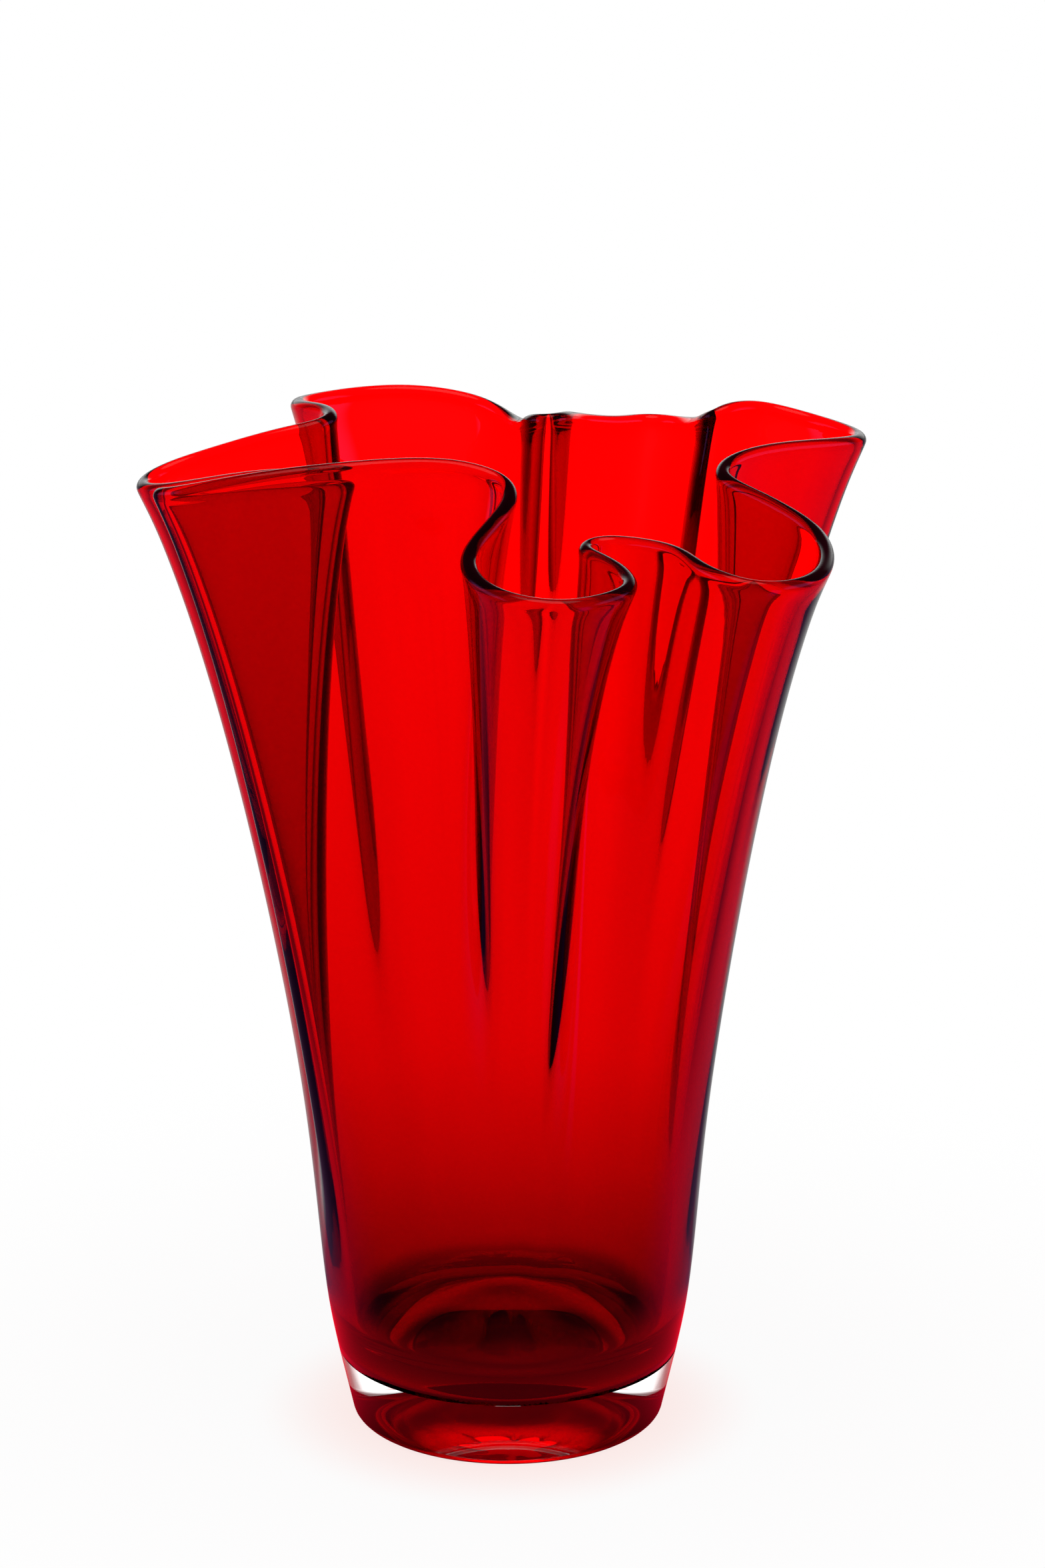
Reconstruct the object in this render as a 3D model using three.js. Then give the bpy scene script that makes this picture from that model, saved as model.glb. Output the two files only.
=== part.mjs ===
import * as THREE from 'three';

// Millimetres. The foot rests on z = 0, its axis is the Z axis, and the front of the vase faces -Y.

// Clear base
const FOOT_RADIUS = 43.6;
const FOOT_ROUNDING = 2.5;
const BASE_HEIGHT = 20.5;
const BASE_TOP_RADIUS = 48.3;

// Domed hollow under the base: the flat ring left round it and the glass left over it
const RESTING_RING = 3.6;
const HOLLOW_ROOF = 3;

// Clearance between the two glasses
const JOINT_GAP = 0.3;

// Floor inside the red bowl: a dome that dies away into a trough along the wall
const FLOOR_THICKNESS = 6;
const FLOOR_RADIUS = 36;
const FLOOR_DOME = 11.5;

// Wall of the red bowl: levels run from 0 at the joint to 1 at the rim
const RIM_HEIGHT = 275.5;
const RIM_WALL = 3.8;
const FOOT_WALL = 6.8;
const WALL_TAPER = 1.2;
const SHOULDER = 3.4;
const SHOULDER_LEVEL = 0.05;
const FLARE = 13.5;
const FOLD_START = 0.08;
const FOLD_POWER = 1.4;
const FOLD_SOFTENING = 10;
const RIM_SOFTENING = 3;
const RISE_SOFTENING = 9;
const BEARING_SOFTENING = 28;

// How far the round bead along the rim stands out from each face of the wall
const BEAD_RISE = 0.5;

// The lip curls out beyond the fold below it, the most at the front lobe
const LIP_POWER = 6;
const LIP_SHARE = 0.23;
const FRONT_LIP_EXTRA = 0.25;
const FRONT_LIP_CENTRE = [11, -80];
const FRONT_LIP_REACH = 45;

// Bends of the rim, counterclockwise from above, as x, y and rise over RIM_HEIGHT.
// A bearing, in degrees, is where the second bend of a lobe or pleat meets the round foot.
const FRONT_LOBE = {
  bends: [[-11, -77, 2], [-4, -95, -2], [15, -103, -3], [33, -88, -3], [29, -70, -2]],
};
const FRONT_PLEAT = {
  bearing: -75,
  bends: [[20, -56, -2], [25, -49, -2], [45, -62, 0], [53, -78, -1]],
};
const FRONT_RIGHT_LOBE = {
  bends: [[66, -86, -3], [79, -78, -5], [86, -59, -5], [84, -37, -3], [71, -20, 1]],
};
const RIGHT_PLEAT = {
  bearing: 0,
  bends: [[60, -9, 3], [59, 1, 4], [67, 12, 5]],
};
const RIGHT_LOBE = {
  bends: [[92, 34, 1], [99.5, 47, -2], [92, 64, -3], [77, 73, -2]],
};
const BACK_RIGHT_PLEAT = {
  bearing: 48,
  bends: [[65, 68, 4], [58, 62, 2], [55, 74, -5]],
};
const BACK_RIGHT_LOBE = {
  bends: [[50, 89, -10], [40, 96, -11], [31, 87, -9], [19, 75, -4]],
};
const BACK_PLEAT = {
  bearing: 83,
  bends: [[16, 63, 1], [12, 57, 2], [7, 63, 1], [4, 80, -9]],
};
const BACK_LOBE = {
  bends: [[-7, 101, -7], [-28, 105, -4], [-48, 98, -4], [-60, 83, -2], [-58, 70, 1]],
};
const BACK_LEFT_PLEAT = {
  bearing: 134,
  bends: [[-50, 57, 4], [-51, 45, 4], [-68, 44, 0]],
};
const LEFT_LOBE = {
  bends: [[-96, 44, -10], [-102.5, 32, -12], [-95.5, 19, -8], [-61, -4, 4]],
};
const LEFT_PLEAT = {
  bearing: 194,
  bends: [[-46, -12, 5], [-43, -22, 6], [-55, -28, 7]],
};
const FRONT_LEFT_LOBE = {
  bearing: 206,
  bends: [[-84, -27, 5], [-96, -31, 5], [-87, -40, 10], [-50, -44, 17], [-10, -37, 16]],
};
const FRONT_LEFT_PLEAT = {
  bearing: 262,
  bends: [[0, -42, 12], [1, -52, 11], [-5, -65, 7]],
};
const RIM_PARTS = [
  FRONT_LOBE, FRONT_PLEAT, FRONT_RIGHT_LOBE, RIGHT_PLEAT, RIGHT_LOBE,
  BACK_RIGHT_PLEAT, BACK_RIGHT_LOBE, BACK_PLEAT, BACK_LOBE, BACK_LEFT_PLEAT,
  LEFT_LOBE, LEFT_PLEAT, FRONT_LEFT_LOBE, FRONT_LEFT_PLEAT,
];

// Mesh density
const RIM_SAMPLES = 1200;
const ARC_DIVISIONS = 4800;
const COLUMNS = 150;
const BEND_DENSITY = 12;
const COLUMN_EVENING = 6;
const HEADING_SPAN = 2;
const NORMAL_SPAN = 3;
const EVENING_PASSES = 3;
const OUTER_LEVELS = [0, 0.05, 0.12, 0.22, 0.32, 0.43, 0.54, 0.65, 0.75, 0.84, 0.91, 0.96];
const INNER_LEVELS = [0.96, 0.91, 0.84, 0.75, 0.65, 0.54, 0.43, 0.32, 0.22, 0.13, 0.06];
const BASE_SEGMENTS = 96;
const HOLLOW_STEPS = 12;
const DOME_STEPS = 6;
const ARC_STEPS = 4;
const BEAD_STEPS = 7;

const POLISH = { roughness: 0.05, metalness: 0, transparent: true };
const RUBY = new THREE.MeshStandardMaterial({ ...POLISH, color: 0xb00010, opacity: 0.8 });
const CLEAR = new THREE.MeshStandardMaterial({ ...POLISH, color: 0xeef2f2, opacity: 0.4 });

const TURN = 2 * Math.PI;
const bowlBottom = BASE_HEIGHT + JOINT_GAP;

// Averages a closed run of values over its neighbours.
function evened(values, reach) {
  const count = values.length;
  let result = values;
  for (let pass = 0; pass < EVENING_PASSES; pass += 1) {
    const source = result;
    result = source.map((_, i) => {
      let sum = 0;
      for (let k = -reach; k <= reach; k += 1) {
        sum += source[(i + k + count) % count];
      }
      return sum / (2 * reach + 1);
    });
  }
  return result;
}

// The rim's centre line, as evenly spaced samples.
function rimLine() {
  const bends = RIM_PARTS.flatMap((part) => part.bends);
  const points = bends.map(([x, y, rise]) => new THREE.Vector3(x, y, RIM_HEIGHT + rise));
  const curve = new THREE.CatmullRomCurve3(points, true, 'centripetal');
  curve.arcLengthDivisions = ARC_DIVISIONS;
  const samples = curve.getSpacedPoints(RIM_SAMPLES).slice(0, RIM_SAMPLES);
  const spacing = curve.getLength() / RIM_SAMPLES;
  const reach = Math.round(RIM_SOFTENING / spacing);
  const riseReach = Math.round(RISE_SOFTENING / spacing);
  return {
    spacing,
    x: evened(samples.map((p) => p.x), reach),
    y: evened(samples.map((p) => p.y), reach),
    z: evened(samples.map((p) => p.z), riseReach),
  };
}

const rim = rimLine();

// The bearing at which each rim sample meets the round foot, shared out evenly between the given ones.
function footBearings() {
  const marks = RIM_PARTS.filter((part) => 'bearing' in part).map(({ bends, bearing }) => {
    const [x, y] = bends[1];
    const away = rim.x.map((rx, i) => Math.hypot(rx - x, rim.y[i] - y));
    return { sample: away.indexOf(Math.min(...away)), bearing: THREE.MathUtils.degToRad(bearing) };
  });
  const first = marks[0];
  const last = marks[marks.length - 1];
  const around = [
    { sample: last.sample - RIM_SAMPLES, bearing: last.bearing - TURN },
    ...marks,
    { sample: first.sample + RIM_SAMPLES, bearing: first.bearing + TURN },
  ];
  const evenBearing = (i) => (TURN * i) / RIM_SAMPLES;
  const lead = rim.x.map((_, i) => {
    const k = around.findIndex((mark) => mark.sample > i);
    const share = (i - around[k - 1].sample) / (around[k].sample - around[k - 1].sample);
    const bearing = THREE.MathUtils.lerp(around[k - 1].bearing, around[k].bearing, share);
    return bearing - evenBearing(i);
  });
  const reach = Math.round(BEARING_SOFTENING / rim.spacing);
  return evened(lead, reach).map((value, i) => value + evenBearing(i));
}

const bearings = footBearings();

// Samples that become columns of the wall, closer together where the rim bends.
function wallColumns() {
  const heading = (i) => {
    const a = (i - HEADING_SPAN + RIM_SAMPLES) % RIM_SAMPLES;
    const b = (i + HEADING_SPAN) % RIM_SAMPLES;
    return Math.atan2(rim.y[b] - rim.y[a], rim.x[b] - rim.x[a]);
  };
  const weights = rim.x.map((_, i) => {
    const turn = heading((i + 1) % RIM_SAMPLES) - heading(i);
    return rim.spacing + BEND_DENSITY * Math.abs(Math.atan2(Math.sin(turn), Math.cos(turn)));
  });
  const spread = evened(weights, COLUMN_EVENING);
  const total = spread.reduce((sum, weight) => sum + weight, 0);
  const columns = [];
  let passed = 0;
  spread.forEach((weight, i) => {
    passed += weight;
    if (passed >= (columns.length * total) / COLUMNS && columns.length < COLUMNS) {
      columns.push(i);
    }
  });
  return columns;
}

const columns = wallColumns();

const wallAt = (level) => RIM_WALL + (FOOT_WALL - RIM_WALL) * (1 - level) ** WALL_TAPER;

// Radius of the wall's middle before it is folded.
function roundRadius(level) {
  const shoulder = SHOULDER * (1 - Math.exp(-level / SHOULDER_LEVEL));
  return BASE_TOP_RADIUS + shoulder + FLARE * level - wallAt(level) / 2;
}

// The part of each sample's fold that belongs to the lip alone.
const lips = rim.x.map((x, i) => {
  const away = Math.hypot(x - FRONT_LIP_CENTRE[0], rim.y[i] - FRONT_LIP_CENTRE[1]);
  return LIP_SHARE + FRONT_LIP_EXTRA * Math.exp(-((away / FRONT_LIP_REACH) ** 2));
});

// How far each sample of the wall has moved from round towards the shape of the rim.
function foldsAt(level) {
  const share = Math.max(0, (level - FOLD_START) / (1 - FOLD_START));
  return lips.map((lip) => (1 - lip) * share ** FOLD_POWER + lip * share ** LIP_POWER);
}

// One level of the wall as a ring of points. Side is 1 on the outer face and -1 on the inner face,
// and lift raises the ring.
function wallRing(level, side, lift = 0) {
  const folds = foldsAt(level);
  const round = roundRadius(level);
  const reach = Math.round((FOLD_SOFTENING * (1 - level)) / rim.spacing);
  const roundX = bearings.map((bearing) => round * Math.cos(bearing));
  const roundY = bearings.map((bearing) => round * Math.sin(bearing));
  const folded = (from, to) => from.map((v, i) => THREE.MathUtils.lerp(v, to[i], folds[i]));
  const x = folded(roundX, evened(rim.x, reach));
  const y = folded(roundY, evened(rim.y, reach));
  const offset = (side * wallAt(level)) / 2;
  return columns.map((i) => {
    const a = (i - NORMAL_SPAN + RIM_SAMPLES) % RIM_SAMPLES;
    const b = (i + NORMAL_SPAN) % RIM_SAMPLES;
    const along = new THREE.Vector2(x[b] - x[a], y[b] - y[a]).normalize();
    const height = bowlBottom + (rim.z[i] - bowlBottom) * level + lift;
    return new THREE.Vector3(x[i] + along.y * offset, y[i] - along.x * offset, height);
  });
}

// Closed skin over rings that run from one pole to the other. A ring of one point is a pole.
function skin(rings) {
  const positions = [];
  const starts = rings.map((ring) => {
    const start = positions.length / 3;
    ring.forEach((p) => positions.push(p.x, p.y, p.z));
    return start;
  });
  const faces = [];
  for (let r = 0; r + 1 < rings.length; r += 1) {
    const at = (ring, i) => starts[ring] + (i % rings[ring].length);
    for (let i = 0; i < COLUMNS; i += 1) {
      if (rings[r].length > 1) {
        faces.push(at(r, i), at(r, i + 1), at(r + 1, i + 1));
      }
      if (rings[r + 1].length > 1) {
        faces.push(at(r, i), at(r + 1, i + 1), at(r + 1, i));
      }
    }
  }
  const geometry = new THREE.BufferGeometry();
  geometry.setAttribute('position', new THREE.Float32BufferAttribute(positions, 3));
  geometry.setIndex(faces);
  geometry.computeVertexNormals();
  return geometry;
}

function rubyBowl() {
  const floorHeight = bowlBottom + FLOOR_THICKNESS;
  const pole = (height) => [new THREE.Vector3(0, 0, height)];
  const rings = [pole(bowlBottom)];
  OUTER_LEVELS.forEach((level) => rings.push(wallRing(level, 1)));
  const beadRadius = RIM_WALL / 2 + BEAD_RISE;
  const neck = Math.acos(RIM_WALL / 2 / beadRadius);
  for (let step = 0; step <= BEAD_STEPS; step += 1) {
    const angle = ((Math.PI + 2 * neck) * step) / BEAD_STEPS - neck;
    const side = (Math.cos(angle) * beadRadius) / (RIM_WALL / 2);
    rings.push(wallRing(1, side, beadRadius * Math.sin(angle)));
  }
  INNER_LEVELS.forEach((level) => rings.push(wallRing(level, -1)));
  const wallFoot = rings[rings.length - 1];
  for (let step = 1; step <= ARC_STEPS; step += 1) {
    const angle = (Math.PI * step) / (2 * ARC_STEPS);
    rings.push(wallFoot.map((p, k) => {
      const bearing = bearings[columns[k]];
      const out = Math.cos(angle);
      return new THREE.Vector3(
        THREE.MathUtils.lerp(FLOOR_RADIUS * Math.cos(bearing), p.x, out),
        THREE.MathUtils.lerp(FLOOR_RADIUS * Math.sin(bearing), p.y, out),
        THREE.MathUtils.lerp(p.z, floorHeight, Math.sin(angle)),
      );
    }));
  }
  const floorEdge = rings[rings.length - 1];
  const domeRise = (share) => FLOOR_DOME * (1 - share ** 2) ** 2;
  for (let step = DOME_STEPS - 1; step > 0; step -= 1) {
    const share = step / DOME_STEPS;
    rings.push(floorEdge.map((p) => (
      new THREE.Vector3(p.x * share, p.y * share, floorHeight + domeRise(share))
    )));
  }
  rings.push(pole(floorHeight + FLOOR_DOME));
  return skin(rings);
}

function clearBase() {
  const hollowRadius = FOOT_RADIUS - FOOT_ROUNDING - RESTING_RING;
  const hollowDepth = BASE_HEIGHT - HOLLOW_ROOF;
  const profile = [];
  for (let step = 0; step <= HOLLOW_STEPS; step += 1) {
    const share = step / HOLLOW_STEPS;
    profile.push(new THREE.Vector2(hollowRadius * share, hollowDepth * (1 - share ** 2)));
  }
  for (let step = 0; step <= ARC_STEPS; step += 1) {
    const angle = (Math.PI * step) / (2 * ARC_STEPS);
    const radius = FOOT_RADIUS - FOOT_ROUNDING * (1 - Math.sin(angle));
    profile.push(new THREE.Vector2(radius, FOOT_ROUNDING * (1 - Math.cos(angle))));
  }
  profile.push(new THREE.Vector2(BASE_TOP_RADIUS, BASE_HEIGHT));
  profile.push(new THREE.Vector2(0, BASE_HEIGHT));
  return new THREE.LatheGeometry(profile, BASE_SEGMENTS).rotateX(Math.PI / 2);
}

function named(name, geometry, material) {
  const mesh = new THREE.Mesh(geometry, material);
  mesh.name = name;
  return mesh;
}

const vase = new THREE.Group();
vase.name = 'handkerchief_vase';
vase.add(named('ruby_bowl', rubyBowl(), RUBY));
vase.add(named('clear_base', clearBase(), CLEAR));

export default vase;
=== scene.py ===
import math

import bmesh
import bpy
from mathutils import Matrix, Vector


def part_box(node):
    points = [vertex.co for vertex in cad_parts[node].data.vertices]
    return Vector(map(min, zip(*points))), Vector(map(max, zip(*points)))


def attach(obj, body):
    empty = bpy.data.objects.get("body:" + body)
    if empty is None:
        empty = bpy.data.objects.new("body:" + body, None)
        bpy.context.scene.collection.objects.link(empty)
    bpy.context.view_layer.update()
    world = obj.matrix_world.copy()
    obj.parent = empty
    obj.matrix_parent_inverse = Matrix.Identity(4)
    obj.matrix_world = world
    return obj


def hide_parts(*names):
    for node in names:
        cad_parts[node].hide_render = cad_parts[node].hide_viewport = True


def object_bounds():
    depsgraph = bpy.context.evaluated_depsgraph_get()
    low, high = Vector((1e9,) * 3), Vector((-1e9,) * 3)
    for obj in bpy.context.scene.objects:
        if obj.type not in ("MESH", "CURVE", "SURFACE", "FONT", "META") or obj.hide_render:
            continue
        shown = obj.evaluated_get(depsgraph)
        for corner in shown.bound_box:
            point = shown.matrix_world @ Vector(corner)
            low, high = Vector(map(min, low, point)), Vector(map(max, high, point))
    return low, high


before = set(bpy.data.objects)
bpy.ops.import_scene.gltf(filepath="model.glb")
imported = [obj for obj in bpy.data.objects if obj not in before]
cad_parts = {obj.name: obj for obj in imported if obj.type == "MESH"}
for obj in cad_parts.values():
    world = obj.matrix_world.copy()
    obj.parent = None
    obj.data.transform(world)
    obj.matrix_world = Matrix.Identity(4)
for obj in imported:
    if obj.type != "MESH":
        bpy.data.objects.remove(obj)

cad_low, cad_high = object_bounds()
MM = 0.001

# Clear foot
FOOT_RADIUS = 43.6 * MM
FOOT_SEGMENTS = 192
FOOT_ROUNDING = 2.5 * MM
ROUNDING_SEGMENTS = 6
ROUND_PROFILE = 0.5
RESTING_RING = 3.6 * MM
HOLLOW_ROOF = 3 * MM
HOLLOW_STEPS = 24
FACES_UP = 0.9
FACES_DOWN = -0.999

# Fused joint: the red comes down to the clear foot but for a hair
JOINT_HAIR = 0.02 * MM
FLAT = 0.01 * MM

# Red body
MERGE_DISTANCE = 0.001 * MM
WALL_SMOOTHING = 2
CORNER_ANGLE = math.radians(40)

# Glass, with absorption per metre
GLASS_IOR = 1.46
RED_ABSORPTION = (0.9464, 0.0, 0.02, 1)
RED_DENSITY = 1400
# The red tint of the surface by height, with painted shade that darkens it towards the foot for the dim
# lower bowl and for the deeper colour of the thick lower glass; green and blue as a share of it
RED_AND_PAINTED_SHADE_BY_HEIGHT = (
    (20 * MM, 0.05), (26 * MM, 0.2), (34 * MM, 0.62), (60 * MM, 0.84), (90 * MM, 1), (220 * MM, 1),
)
GREEN_AND_BLUE = 0.1
# Cords: faint upright streaks left by the blowing, as noise per metre across and up the wall
CORDS = (70, 70, 4)
CORD_NOISE = (0.3, 0.7)
CORD_TINT = (0.97, 1.0)
CORD_SWELL = 0.25 * MM
CORD_STRENGTH = 0.03
CLEAR_ABSORPTION = (0.9, 0.97, 0.95, 1)
CLEAR_DENSITY = 6
# Clouds in the clear glass, as noise per metre, and the tints that they run between
CLEAR_CLOUDS = (45, 45, 45)
CLEAR_TINTS = ((0.35, (0.95, 0.972, 0.972, 1)), (0.65, (0.985, 0.995, 0.995, 1)))

# Floor. Each reach is a distance from the middle of the foot, in metres
FLOOR_DROP = 0.2 * MM
FLOOR_SIZE = 12
FLOOR_PALE = (0.8, 0.8, 0.8, 1)
WHITE = (1, 1, 1, 1)
# The share of plain white that the camera sees: the rest is lit and holds the soft shadow
WHITE_REACH = (0.08, 0.3)
WHITE_SHARE = (0.94, 1.0)
# A painted glow of red light on the floor close round the foot
PAINTED_GLOW_REACH = (0.042, 0.075)
PAINTED_RED_GLOW = (1, 0.86, 0.84, 1)
# A painted red shadow of the vase, as the glass shows it, by the distance from the middle of the foot
PAINTED_SHADOW = (
    (0, (0.2, 0, 0.005, 1)), (0.042, (0.25, 0.001, 0.008, 1)),
    (0.055, (0.9, 0.005, 0.03, 1)), (0.085, (1.3, 0.01, 0.04, 1)),
)
PAINTED_SHADOW_EDGE = (0.085, 0.115)

# The studio through the glass, by the share of a direction that points away from the camera.
# Beyond the painted shadow's edge the floor eases, through painted shade that is dark red in front and
# bright behind, to the white of the backdrop
PAINTED_SHADE_BEHIND = (
    (-1, (0.1, 0.003, 0.02, 1)), (-0.2, (0.1, 0.003, 0.02, 1)), (0.4, 1.5), (1, 1.5),
)
PAINTED_SHADE_REACH = (0.11, 0.32)
BACKDROP = ((-1, 1), (-0.55, 1), (-0.25, 0.26), (0.5, 0.3), (0.86, 1.9), (1, 1.9))
# The backdrop gives way to what is overhead, both by the share of a direction that points up
BACKDROP_RISE = (0.18, 0.5)
OVERHEAD = ((-1, 0.24), (0.62, 0.24), (0.84, 3.4), (1, 3.4))

# The studio in reflections, by the same shares: dim all round, and on the floor a painted shade,
# darkest in front
DARK = (0.09, 0.008, 0.02, 1)
MIRROR_FLOOR_PAINTED_SHADE = (
    (-1, DARK), (-0.4, DARK), (0.1, (0.07, 0.01, 0.08, 1)), (0.75, (0.1, 0.04, 0.1, 1)),
    (0.95, 0.4), (1, 0.6),
)
# A painted strip of light on the floor at the front right, seen only in reflections, by the share that
# points right
PAINTED_FRONT_STRIP = ((0.58, 0), (0.66, 1), (0.76, 1), (0.84, 0))
PAINTED_FRONT_STRIP_REACH = (0.2, 0.4)
PAINTED_FRONT_STRIP_COLOUR = (0.6, 0.02, 0.4, 1)
# The white backdrop, a cool strip of light on either side and the lamp overhead
MIRROR_BACKDROP = (0.75, 0.97)
MIRROR_RISE = (0.1, 0.42)
SIDE_STRIP = (0.85, 0.96)
SIDE_STRIP_RISE = (0.45, 0.65)
SIDE_STRIP_COLOUR = (0.7, 0.15, 0.6, 1)
LAMP_REFLECTED = (0.9, 0.95)
LAMP_WHITE = (0.6, 0.6, 0.6, 1)

# Light on the floor
SOFT_SKY = (0.1, 0.1, 0.1, 1)
LAMP_PLACE = (0, -0.4, 1.75)
LAMP_SIZE = (2, 2)
LAMP_POWER = 34

# How often a ray of light may turn in the glass, at a mirror and straight through
GLASS_TURNS = 32
MIRROR_TURNS = 12
STRAIGHT_TURNS = 24

# Camera
CAMERA_PLACE = (4.2 * MM, -2236 * MM, 958 * MM)
CAMERA_TILT = math.radians(71)
CAMERA_LENS = 194.7
SENSOR = 36

# The colour sockets of a Mix node
FIRST_COLOUR, SECOND_COLOUR, MIXED_COLOUR = 6, 7, 2


def deselect():
    """Leave nothing selected and no object in edit mode."""
    if bpy.context.object and bpy.context.object.mode != "OBJECT":
        bpy.ops.object.mode_set(mode="OBJECT")
    bpy.ops.object.select_all(action="DESELECT")


def take_up(piece):
    """Make a piece the one that operators work on."""
    deselect()
    piece.select_set(True)
    bpy.context.view_layer.objects.active = piece


def pick_faces(piece, wanted):
    """In edit mode, select the faces for which wanted(face) is true."""
    bpy.ops.mesh.select_mode(type="FACE")
    bpy.ops.mesh.select_all(action="DESELECT")
    mesh = bmesh.from_edit_mesh(piece.data)
    for face in mesh.faces:
        face.select_set(bool(wanted(face)))
    bmesh.update_edit_mesh(piece.data)


def pick_edges(piece, wanted):
    """In edit mode, select the edges for which wanted(edge) is true."""
    bpy.ops.mesh.select_mode(type="EDGE")
    bpy.ops.mesh.select_all(action="DESELECT")
    mesh = bmesh.from_edit_mesh(piece.data)
    for edge in mesh.edges:
        edge.select_set(bool(wanted(edge)))
    bmesh.update_edit_mesh(piece.data)


def lies_flat(points, height):
    """Whether all of a face's or an edge's points lie at one height."""
    return all(abs(point.co.z - height) < FLAT for point in points)


def mark_joint(piece, height):
    """Mark the faces where the two glasses are fused, so that light goes straight across them."""
    mark = piece.data.attributes.new("fused_joint", "FLOAT", "FACE")
    for face, value in zip(piece.data.polygons, mark.data):
        value.value = float(lies_flat([piece.data.vertices[v] for v in face.vertices], height))


def hollow_out(height):
    """In edit mode, sink the picked underside of the foot to a deep dome inside its resting ring."""
    radius = FOOT_RADIUS - FOOT_ROUNDING - RESTING_RING
    depth = height - HOLLOW_ROOF
    bpy.ops.mesh.inset(thickness=RESTING_RING, depth=0)
    for step in range(1, HOLLOW_STEPS):
        before, now = 1 - (step - 1) / HOLLOW_STEPS, 1 - step / HOLLOW_STEPS
        bpy.ops.mesh.inset(thickness=radius / HOLLOW_STEPS, depth=0)
        bpy.ops.transform.translate(value=(0, 0, depth * (before ** 2 - now ** 2)))


def clear_foot():
    """The thick clear foot: a drum widened at its top, with a rounded lower edge and a hollow."""
    low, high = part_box("clear_base")
    height = high.z - low.z
    deselect()
    bpy.ops.mesh.primitive_cylinder_add(vertices=FOOT_SEGMENTS, radius=FOOT_RADIUS, depth=height,
                                        location=(0, 0, low.z + height / 2))
    foot = bpy.context.object
    foot.name = "clear_foot"
    bpy.ops.object.transform_apply(location=True, rotation=True, scale=True)
    bpy.ops.object.mode_set(mode="EDIT")
    widen = high.x / FOOT_RADIUS
    pick_faces(foot, lambda face: face.normal.z > FACES_UP)
    bpy.ops.transform.resize(value=(widen, widen, 1))
    pick_edges(foot, lambda edge: lies_flat(edge.verts, low.z))
    bpy.ops.mesh.bevel(offset=FOOT_ROUNDING, segments=ROUNDING_SEGMENTS, profile=ROUND_PROFILE)
    pick_faces(foot, lambda face: face.normal.z < FACES_DOWN)
    hollow_out(height)
    bpy.ops.object.mode_set(mode="OBJECT")
    mark_joint(foot, high.z)
    bpy.ops.object.shade_smooth_by_angle(angle=CORNER_ANGLE)
    return foot


def ring_walk(mesh):
    """How many edges each point lies from the middle of the body's underside, and the two poles."""
    poles = sorted(mesh.verts, key=lambda v: len(v.link_edges))[-2:]
    start = min(poles, key=lambda v: v.co.z)
    ring = {start: 0}
    front = [start]
    while front:
        beyond = []
        for point in front:
            for edge in point.link_edges:
                other = edge.other_vert(point)
                if other not in ring:
                    ring[other] = ring[point] + 1
                    beyond.append(other)
        front = beyond
    return ring, poles


def open_diagonals(piece):
    """Turn the solid's triangles back into the rings and columns of the wall."""
    mesh = bmesh.from_edit_mesh(piece.data)
    ring, poles = ring_walk(mesh)
    diagonals = set()
    for face in mesh.faces:
        upper = max(face.loops, key=lambda loop: ring[loop.vert])
        on_lower = sum(ring[loop.vert] < ring[upper.vert] for loop in face.loops)
        if on_lower == 2 and upper.vert not in poles:
            diagonals.add(upper.edge)
    pick_edges(piece, lambda edge: edge in diagonals)
    bpy.ops.mesh.dissolve_edges(use_verts=False, use_face_split=False)


def red_body():
    """The red body: its solid refined to a smooth wall and let down onto the clear foot."""
    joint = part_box("clear_base")[1].z + JOINT_HAIR
    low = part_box("ruby_bowl")[0].z
    body = bpy.data.objects.new("red_body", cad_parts["ruby_bowl"].data.copy())
    bpy.context.scene.collection.objects.link(body)
    take_up(body)
    bpy.ops.object.mode_set(mode="EDIT")
    bpy.ops.mesh.select_all(action="SELECT")
    bpy.ops.mesh.remove_doubles(threshold=MERGE_DISTANCE)
    open_diagonals(body)
    pick_faces(body, lambda face: lies_flat(face.verts, low))
    bpy.ops.transform.translate(value=(0, 0, joint - low))
    bpy.ops.mesh.region_to_loop()
    bpy.ops.transform.edge_crease(value=1)
    bpy.ops.object.mode_set(mode="OBJECT")
    smooth = body.modifiers.new("smooth wall", "SUBSURF")
    smooth.levels = smooth.render_levels = WALL_SMOOTHING
    bpy.ops.object.modifier_apply(modifier=smooth.name)
    mark_joint(body, joint)
    bpy.ops.object.shade_smooth_by_angle(angle=CORNER_ANGLE)
    return body


def graded(tree, value, grades):
    """A colour graded along a value, from pairs of value and colour. A single number is a grey."""
    first, last = grades[0][0], grades[-1][0]
    share = tree.nodes.new("ShaderNodeMapRange")
    share.inputs["From Min"].default_value = first
    share.inputs["From Max"].default_value = last
    tree.links.new(value, share.inputs["Value"])
    scale = tree.nodes.new("ShaderNodeValToRGB")
    stops = scale.color_ramp.elements
    for place, _ in grades[1:-1]:
        stops.new((place - first) / (last - first))
    for stop, (_, colour) in zip(stops, grades):
        stop.color = colour if isinstance(colour, tuple) else (colour, colour, colour, 1)
    tree.links.new(share.outputs["Result"], scale.inputs["Fac"])
    return scale.outputs["Color"]


def eased(tree, value, span, low=0, high=1):
    """A value eased from low at the start of a span to high at its end."""
    start, end = span
    ease = tree.nodes.new("ShaderNodeMapRange")
    ease.interpolation_type = "SMOOTHSTEP"
    ease.inputs["From Min"].default_value = start
    ease.inputs["From Max"].default_value = end
    ease.inputs["To Min"].default_value = low
    ease.inputs["To Max"].default_value = high
    tree.links.new(value, ease.inputs["Value"])
    return ease.outputs["Result"]


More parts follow.
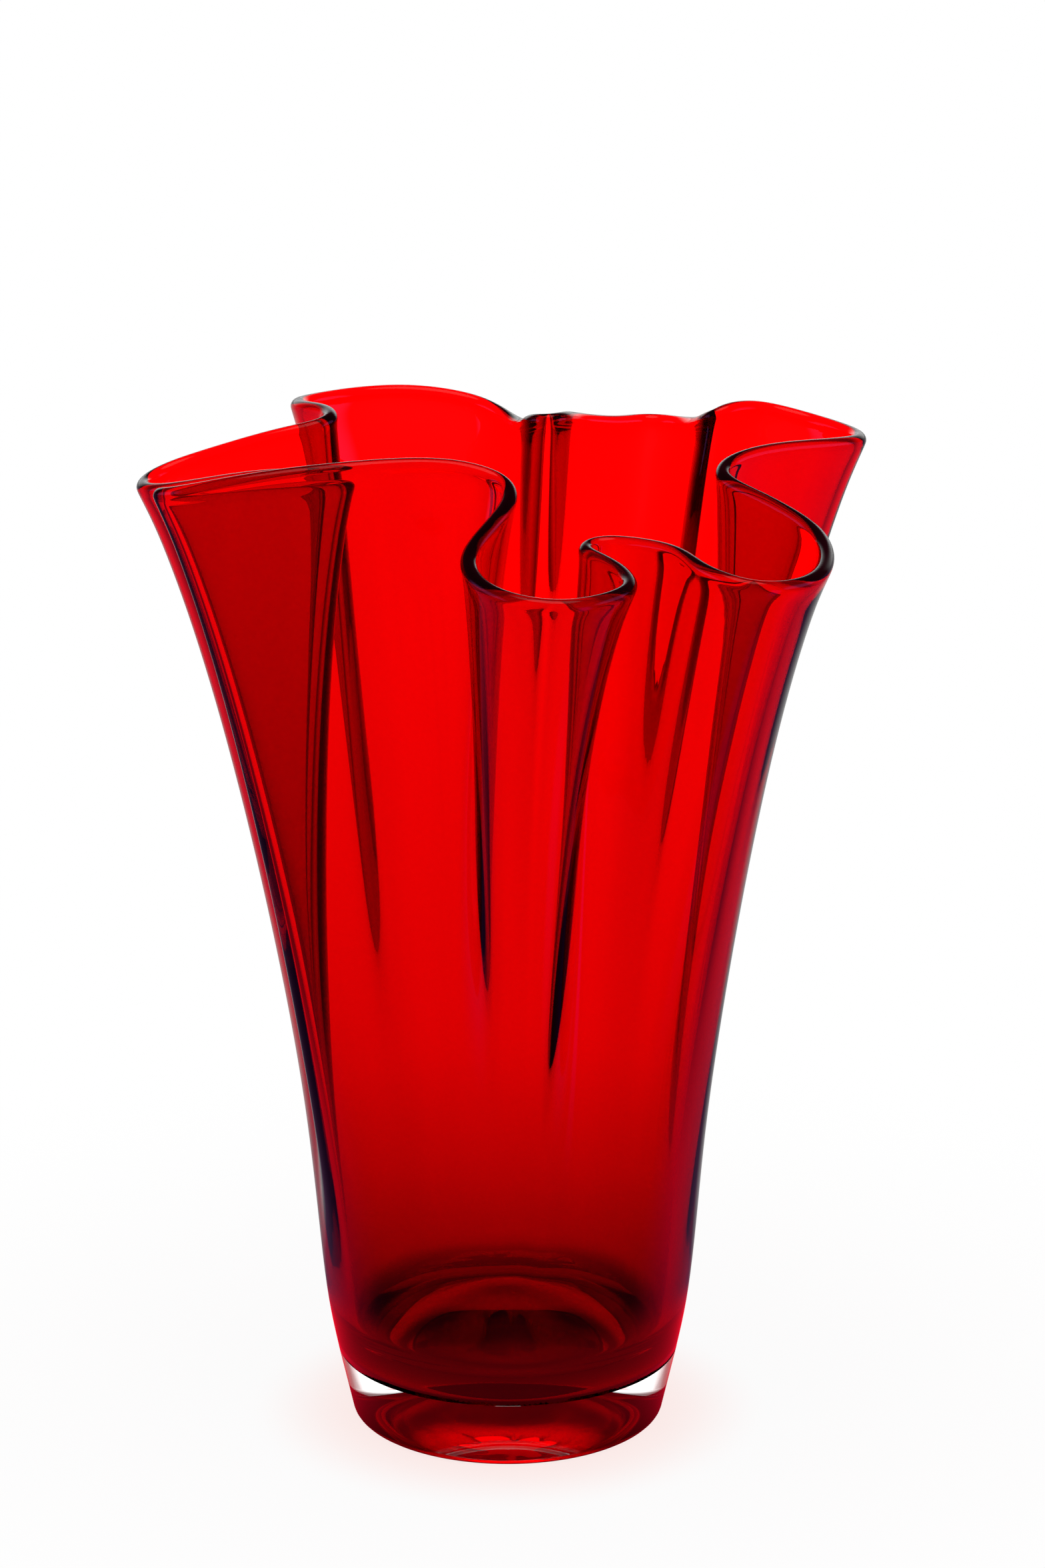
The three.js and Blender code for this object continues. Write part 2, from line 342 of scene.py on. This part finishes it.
def reckoned(tree, operation, first, second=0.0):
    """One step of arithmetic on a value, or on two."""
    step = tree.nodes.new("ShaderNodeMath")
    step.operation = operation
    for socket, value in zip(step.inputs, (first, second)):
        if isinstance(value, float):
            socket.default_value = value
        else:
            tree.links.new(value, socket)
    return step.outputs["Value"]


def blended(tree, share, first, second):
    """A colour between two others, by share."""
    mix = tree.nodes.new("ShaderNodeMix")
    mix.data_type = "RGBA"
    tree.links.new(share, mix.inputs["Factor"])
    for number, colour in ((FIRST_COLOUR, first), (SECOND_COLOUR, second)):
        if isinstance(colour, tuple):
            mix.inputs[number].default_value = colour
        else:
            tree.links.new(colour, mix.inputs[number])
    return mix.outputs[MIXED_COLOUR]


def clouds(tree, place, fineness):
    """Soft noise over a piece, finer or coarser along each axis."""
    stretch = tree.nodes.new("ShaderNodeMapping")
    stretch.inputs["Scale"].default_value = fineness
    tree.links.new(place, stretch.inputs["Vector"])
    noise = tree.nodes.new("ShaderNodeTexNoise")
    noise.inputs["Scale"].default_value = 1
    noise.inputs["Detail"].default_value = 1
    tree.links.new(stretch.outputs["Vector"], noise.inputs["Vector"])
    return noise.outputs["Fac"]


def empty_material(name):
    """A new material with no nodes in it."""
    material = bpy.data.materials.new(name)
    material.use_nodes = True
    material.node_tree.nodes.clear()
    return material


def fused_glass(name, absorption, density):
    """A glass that takes up light in its depth, and lets it straight across where the two are fused."""
    glass = empty_material(name)
    tree = glass.node_tree
    out = tree.nodes.new("ShaderNodeOutputMaterial")
    surface = tree.nodes.new("ShaderNodeBsdfPrincipled")
    surface.inputs["IOR"].default_value = GLASS_IOR
    surface.inputs["Transmission Weight"].default_value = 1
    surface.inputs["Roughness"].default_value = 0
    fused = tree.nodes.new("ShaderNodeAttribute")
    fused.attribute_name = "fused_joint"
    across = tree.nodes.new("ShaderNodeBsdfTransparent")
    joint = tree.nodes.new("ShaderNodeMixShader")
    tree.links.new(fused.outputs["Fac"], joint.inputs["Fac"])
    tree.links.new(surface.outputs["BSDF"], joint.inputs[1])
    tree.links.new(across.outputs["BSDF"], joint.inputs[2])
    tree.links.new(joint.outputs["Shader"], out.inputs["Surface"])
    depth = tree.nodes.new("ShaderNodeVolumeAbsorption")
    depth.inputs["Color"].default_value = absorption
    depth.inputs["Density"].default_value = density
    tree.links.new(depth.outputs["Volume"], out.inputs["Volume"])
    return glass, surface


def red_glass():
    """Deep red glass, with painted shade that darkens its surface tint towards the thick lower wall,
    and faint upright cords.
    """
    glass, surface = fused_glass("red_glass", RED_ABSORPTION, RED_DENSITY)
    tree = glass.node_tree
    place = tree.nodes.new("ShaderNodeTexCoord").outputs["Object"]
    height = tree.nodes.new("ShaderNodeSeparateXYZ")
    tree.links.new(place, height.inputs["Vector"])
    # The tints carry painted shade, darker towards the foot
    tints_and_painted_shade = [(level, (red, GREEN_AND_BLUE * red, GREEN_AND_BLUE * red, 1))
             for level, red in RED_AND_PAINTED_SHADE_BY_HEIGHT]
    cords = clouds(tree, place, CORDS)
    corded = tree.nodes.new("ShaderNodeVectorMath")
    corded.operation = "MULTIPLY"
    tree.links.new(graded(tree, height.outputs["Z"], tints_and_painted_shade), corded.inputs[0])
    tree.links.new(eased(tree, cords, CORD_NOISE, *CORD_TINT), corded.inputs[1])
    tree.links.new(corded.outputs["Vector"], surface.inputs["Base Color"])
    swell = tree.nodes.new("ShaderNodeBump")
    swell.inputs["Strength"].default_value = CORD_STRENGTH
    swell.inputs["Distance"].default_value = CORD_SWELL
    tree.links.new(cords, swell.inputs["Height"])
    tree.links.new(swell.outputs["Normal"], surface.inputs["Normal"])
    return glass


def clear_glass():
    """Colourless glass with a trace of grey in its depth and faint clouds."""
    glass, surface = fused_glass("clear_glass", CLEAR_ABSORPTION, CLEAR_DENSITY)
    tree = glass.node_tree
    place = tree.nodes.new("ShaderNodeTexCoord").outputs["Object"]
    tint = graded(tree, clouds(tree, place, CLEAR_CLOUDS), CLEAR_TINTS)
    tree.links.new(tint, surface.inputs["Base Color"])
    return glass


def paper_in_glass(tree, along, away):
    """The paper through the glass and in its reflections. Both show a painted red shadow of the vase;
    through the glass painted shade beyond it eases to the backdrop, and in reflections the open floor
    is painted dark with a painted strip of light.
    """
    backward = reckoned(tree, "DIVIDE", along["Y"], away)
    right = reckoned(tree, "DIVIDE", along["X"], away)
    # A painted red shadow round the foot, which the glass shows through it and in reflections
    painted_shadow = graded(tree, away, PAINTED_SHADOW)
    clear_of_painted_shadow = eased(tree, away, PAINTED_SHADOW_EDGE)

    beyond = blended(tree, eased(tree, away, PAINTED_SHADE_REACH), graded(tree, backward, PAINTED_SHADE_BEHIND),
                     graded(tree, backward, BACKDROP))
    through = blended(tree, clear_of_painted_shadow, painted_shadow, beyond)

    # A painted strip of light on the floor at the front right, for reflections only
    in_front = reckoned(tree, "LESS_THAN", along["Y"], 0.0)
    in_reach = reckoned(tree, "MULTIPLY", in_front, eased(tree, away, PAINTED_FRONT_STRIP_REACH))
    strip = reckoned(tree, "MULTIPLY", graded(tree, right, PAINTED_FRONT_STRIP), in_reach)
    # The open floor in reflections is painted shade, darkest in front
    open_floor = blended(tree, strip, graded(tree, backward, MIRROR_FLOOR_PAINTED_SHADE), PAINTED_FRONT_STRIP_COLOUR)
    mirrored = blended(tree, clear_of_painted_shadow, painted_shadow, open_floor)
    return through, mirrored


def white_paper():
    """Paper that the camera sees as white, with a soft shadow and a painted red glow close round the
    foot; to the glass it shows painted shadow and shade.
    """
    paper = empty_material("white_paper")
    tree = paper.node_tree
    ray = tree.nodes.new("ShaderNodeLightPath").outputs
    place = tree.nodes.new("ShaderNodeTexCoord").outputs["Object"]
    along = tree.nodes.new("ShaderNodeSeparateXYZ")
    tree.links.new(place, along.inputs["Vector"])
    reach = tree.nodes.new("ShaderNodeVectorMath")
    reach.operation = "LENGTH"
    tree.links.new(place, reach.inputs[0])
    away = reach.outputs["Value"]

    # A painted red glow on the floor close round the foot, for the camera
    painted_glow = blended(tree, eased(tree, away, PAINTED_GLOW_REACH), PAINTED_RED_GLOW, WHITE)
    through, mirrored = paper_in_glass(tree, along.outputs, away)
    seen = blended(tree, ray["Is Transmission Ray"], painted_glow, through)
    # The paper's own glow: white with the painted glow for the camera, and painted shadow and shade for
    # the glass
    white_and_painted_light = tree.nodes.new("ShaderNodeEmission")
    tree.links.new(blended(tree, ray["Is Reflection Ray"], seen, mirrored), white_and_painted_light.inputs["Color"])
    lit = tree.nodes.new("ShaderNodeBsdfDiffuse")
    lit.inputs["Color"].default_value = FLOOR_PALE

    white_seen = reckoned(tree, "MULTIPLY", ray["Is Camera Ray"],
                          eased(tree, away, WHITE_REACH, *WHITE_SHARE))
    in_glass = reckoned(tree, "MAXIMUM", ray["Is Transmission Ray"], ray["Is Reflection Ray"])
    both = tree.nodes.new("ShaderNodeMixShader")
    tree.links.new(reckoned(tree, "MAXIMUM", white_seen, in_glass), both.inputs["Fac"])
    tree.links.new(lit.outputs["BSDF"], both.inputs[1])
    tree.links.new(white_and_painted_light.outputs["Emission"], both.inputs[2])
    out = tree.nodes.new("ShaderNodeOutputMaterial")
    tree.links.new(both.outputs["Shader"], out.inputs["Surface"])
    return paper


def white_floor():
    """A wide sheet of white paper, a hair under the foot."""
    deselect()
    bpy.ops.mesh.primitive_plane_add(size=FLOOR_SIZE, location=(0, 0, 0))
    floor = bpy.context.object
    floor.name = "white_floor"
    bpy.ops.object.mode_set(mode="EDIT")
    bpy.ops.transform.translate(value=(0, 0, -FLOOR_DROP))
    bpy.ops.object.mode_set(mode="OBJECT")
    floor.data.materials.append(white_paper())


def sky_through_glass(tree, way):
    """A white backdrop low behind the vase, dim to the sides, and bright straight overhead."""
    low_down = eased(tree, way["Z"], BACKDROP_RISE, 1, 0)
    return blended(tree, low_down, graded(tree, way["Z"], OVERHEAD), graded(tree, way["Y"], BACKDROP))


def sky_mirrored(tree, way):
    """The white backdrop, a cool strip on either side and the lamp, with dark between them."""
    aside = reckoned(tree, "ABSOLUTE", way["X"])
    strip = reckoned(tree, "MULTIPLY", eased(tree, aside, SIDE_STRIP),
                     eased(tree, way["Z"], SIDE_STRIP_RISE, 1, 0))
    dim = blended(tree, strip, DARK, SIDE_STRIP_COLOUR)
    lamp = blended(tree, eased(tree, way["Z"], LAMP_REFLECTED), dim, LAMP_WHITE)
    behind = reckoned(tree, "MULTIPLY", eased(tree, way["Y"], MIRROR_BACKDROP),
                      eased(tree, way["Z"], MIRROR_RISE, 1, 0))
    return blended(tree, behind, lamp, WHITE)


def studio_sky():
    """White behind everything for the camera, the studio for the glass, and a soft light elsewhere."""
    sky = bpy.data.worlds.new("studio")
    bpy.context.scene.world = sky
    sky.use_nodes = True
    tree = sky.node_tree
    tree.nodes.clear()
    ray = tree.nodes.new("ShaderNodeLightPath").outputs
    way = tree.nodes.new("ShaderNodeSeparateXYZ")
    tree.links.new(tree.nodes.new("ShaderNodeTexCoord").outputs["Generated"], way.inputs["Vector"])

    in_glass = blended(tree, ray["Is Transmission Ray"], sky_mirrored(tree, way.outputs),
                       sky_through_glass(tree, way.outputs))
    bare = blended(tree, ray["Is Camera Ray"], SOFT_SKY, WHITE)
    glass_ray = reckoned(tree, "MAXIMUM", ray["Is Transmission Ray"], ray["Is Reflection Ray"])
    light = tree.nodes.new("ShaderNodeBackground")
    tree.links.new(blended(tree, glass_ray, bare, in_glass), light.inputs["Color"])
    out = tree.nodes.new("ShaderNodeOutputWorld")
    tree.links.new(light.outputs["Background"], out.inputs["Surface"])


def overhead_softbox():
    """A soft lamp overhead, aimed at the middle of the vase, for the shadow on the floor."""
    lamp = bpy.data.lights.new("overhead_softbox", "AREA")
    lamp.shape = "RECTANGLE"
    lamp.size, lamp.size_y = LAMP_SIZE
    lamp.energy = LAMP_POWER
    box = bpy.data.objects.new("overhead_softbox", lamp)
    box.location = LAMP_PLACE
    middle = (cad_low + cad_high) / 2
    box.rotation_euler = (middle - box.location).to_track_quat("-Z", "Y").to_euler()
    box.visible_glossy = False
    bpy.context.scene.collection.objects.link(box)


def camera():
    """The photograph's view: from the front, looking down on the rim through a long lens."""
    lens = bpy.data.cameras.new("camera")
    lens.sensor_fit = "VERTICAL"
    lens.sensor_height = SENSOR
    lens.lens = CAMERA_LENS
    view = bpy.data.objects.new("camera", lens)
    view.location = CAMERA_PLACE
    view.rotation_euler = (CAMERA_TILT, 0, 0)
    bpy.context.scene.collection.objects.link(view)
    bpy.context.scene.camera = view


camera()
foot = clear_foot()
foot.data.materials.append(clear_glass())
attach(foot, "root")
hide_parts("clear_base")

body = red_body()
body.data.materials.clear()
body.data.materials.append(red_glass())
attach(body, "root")
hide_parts("ruby_bowl")

white_floor()
studio_sky()
overhead_softbox()

scene = bpy.context.scene
scene.view_settings.view_transform = "Standard"
scene.cycles.max_bounces = GLASS_TURNS
scene.cycles.transmission_bounces = GLASS_TURNS
scene.cycles.glossy_bounces = MIRROR_TURNS
scene.cycles.transparent_max_bounces = STRAIGHT_TURNS
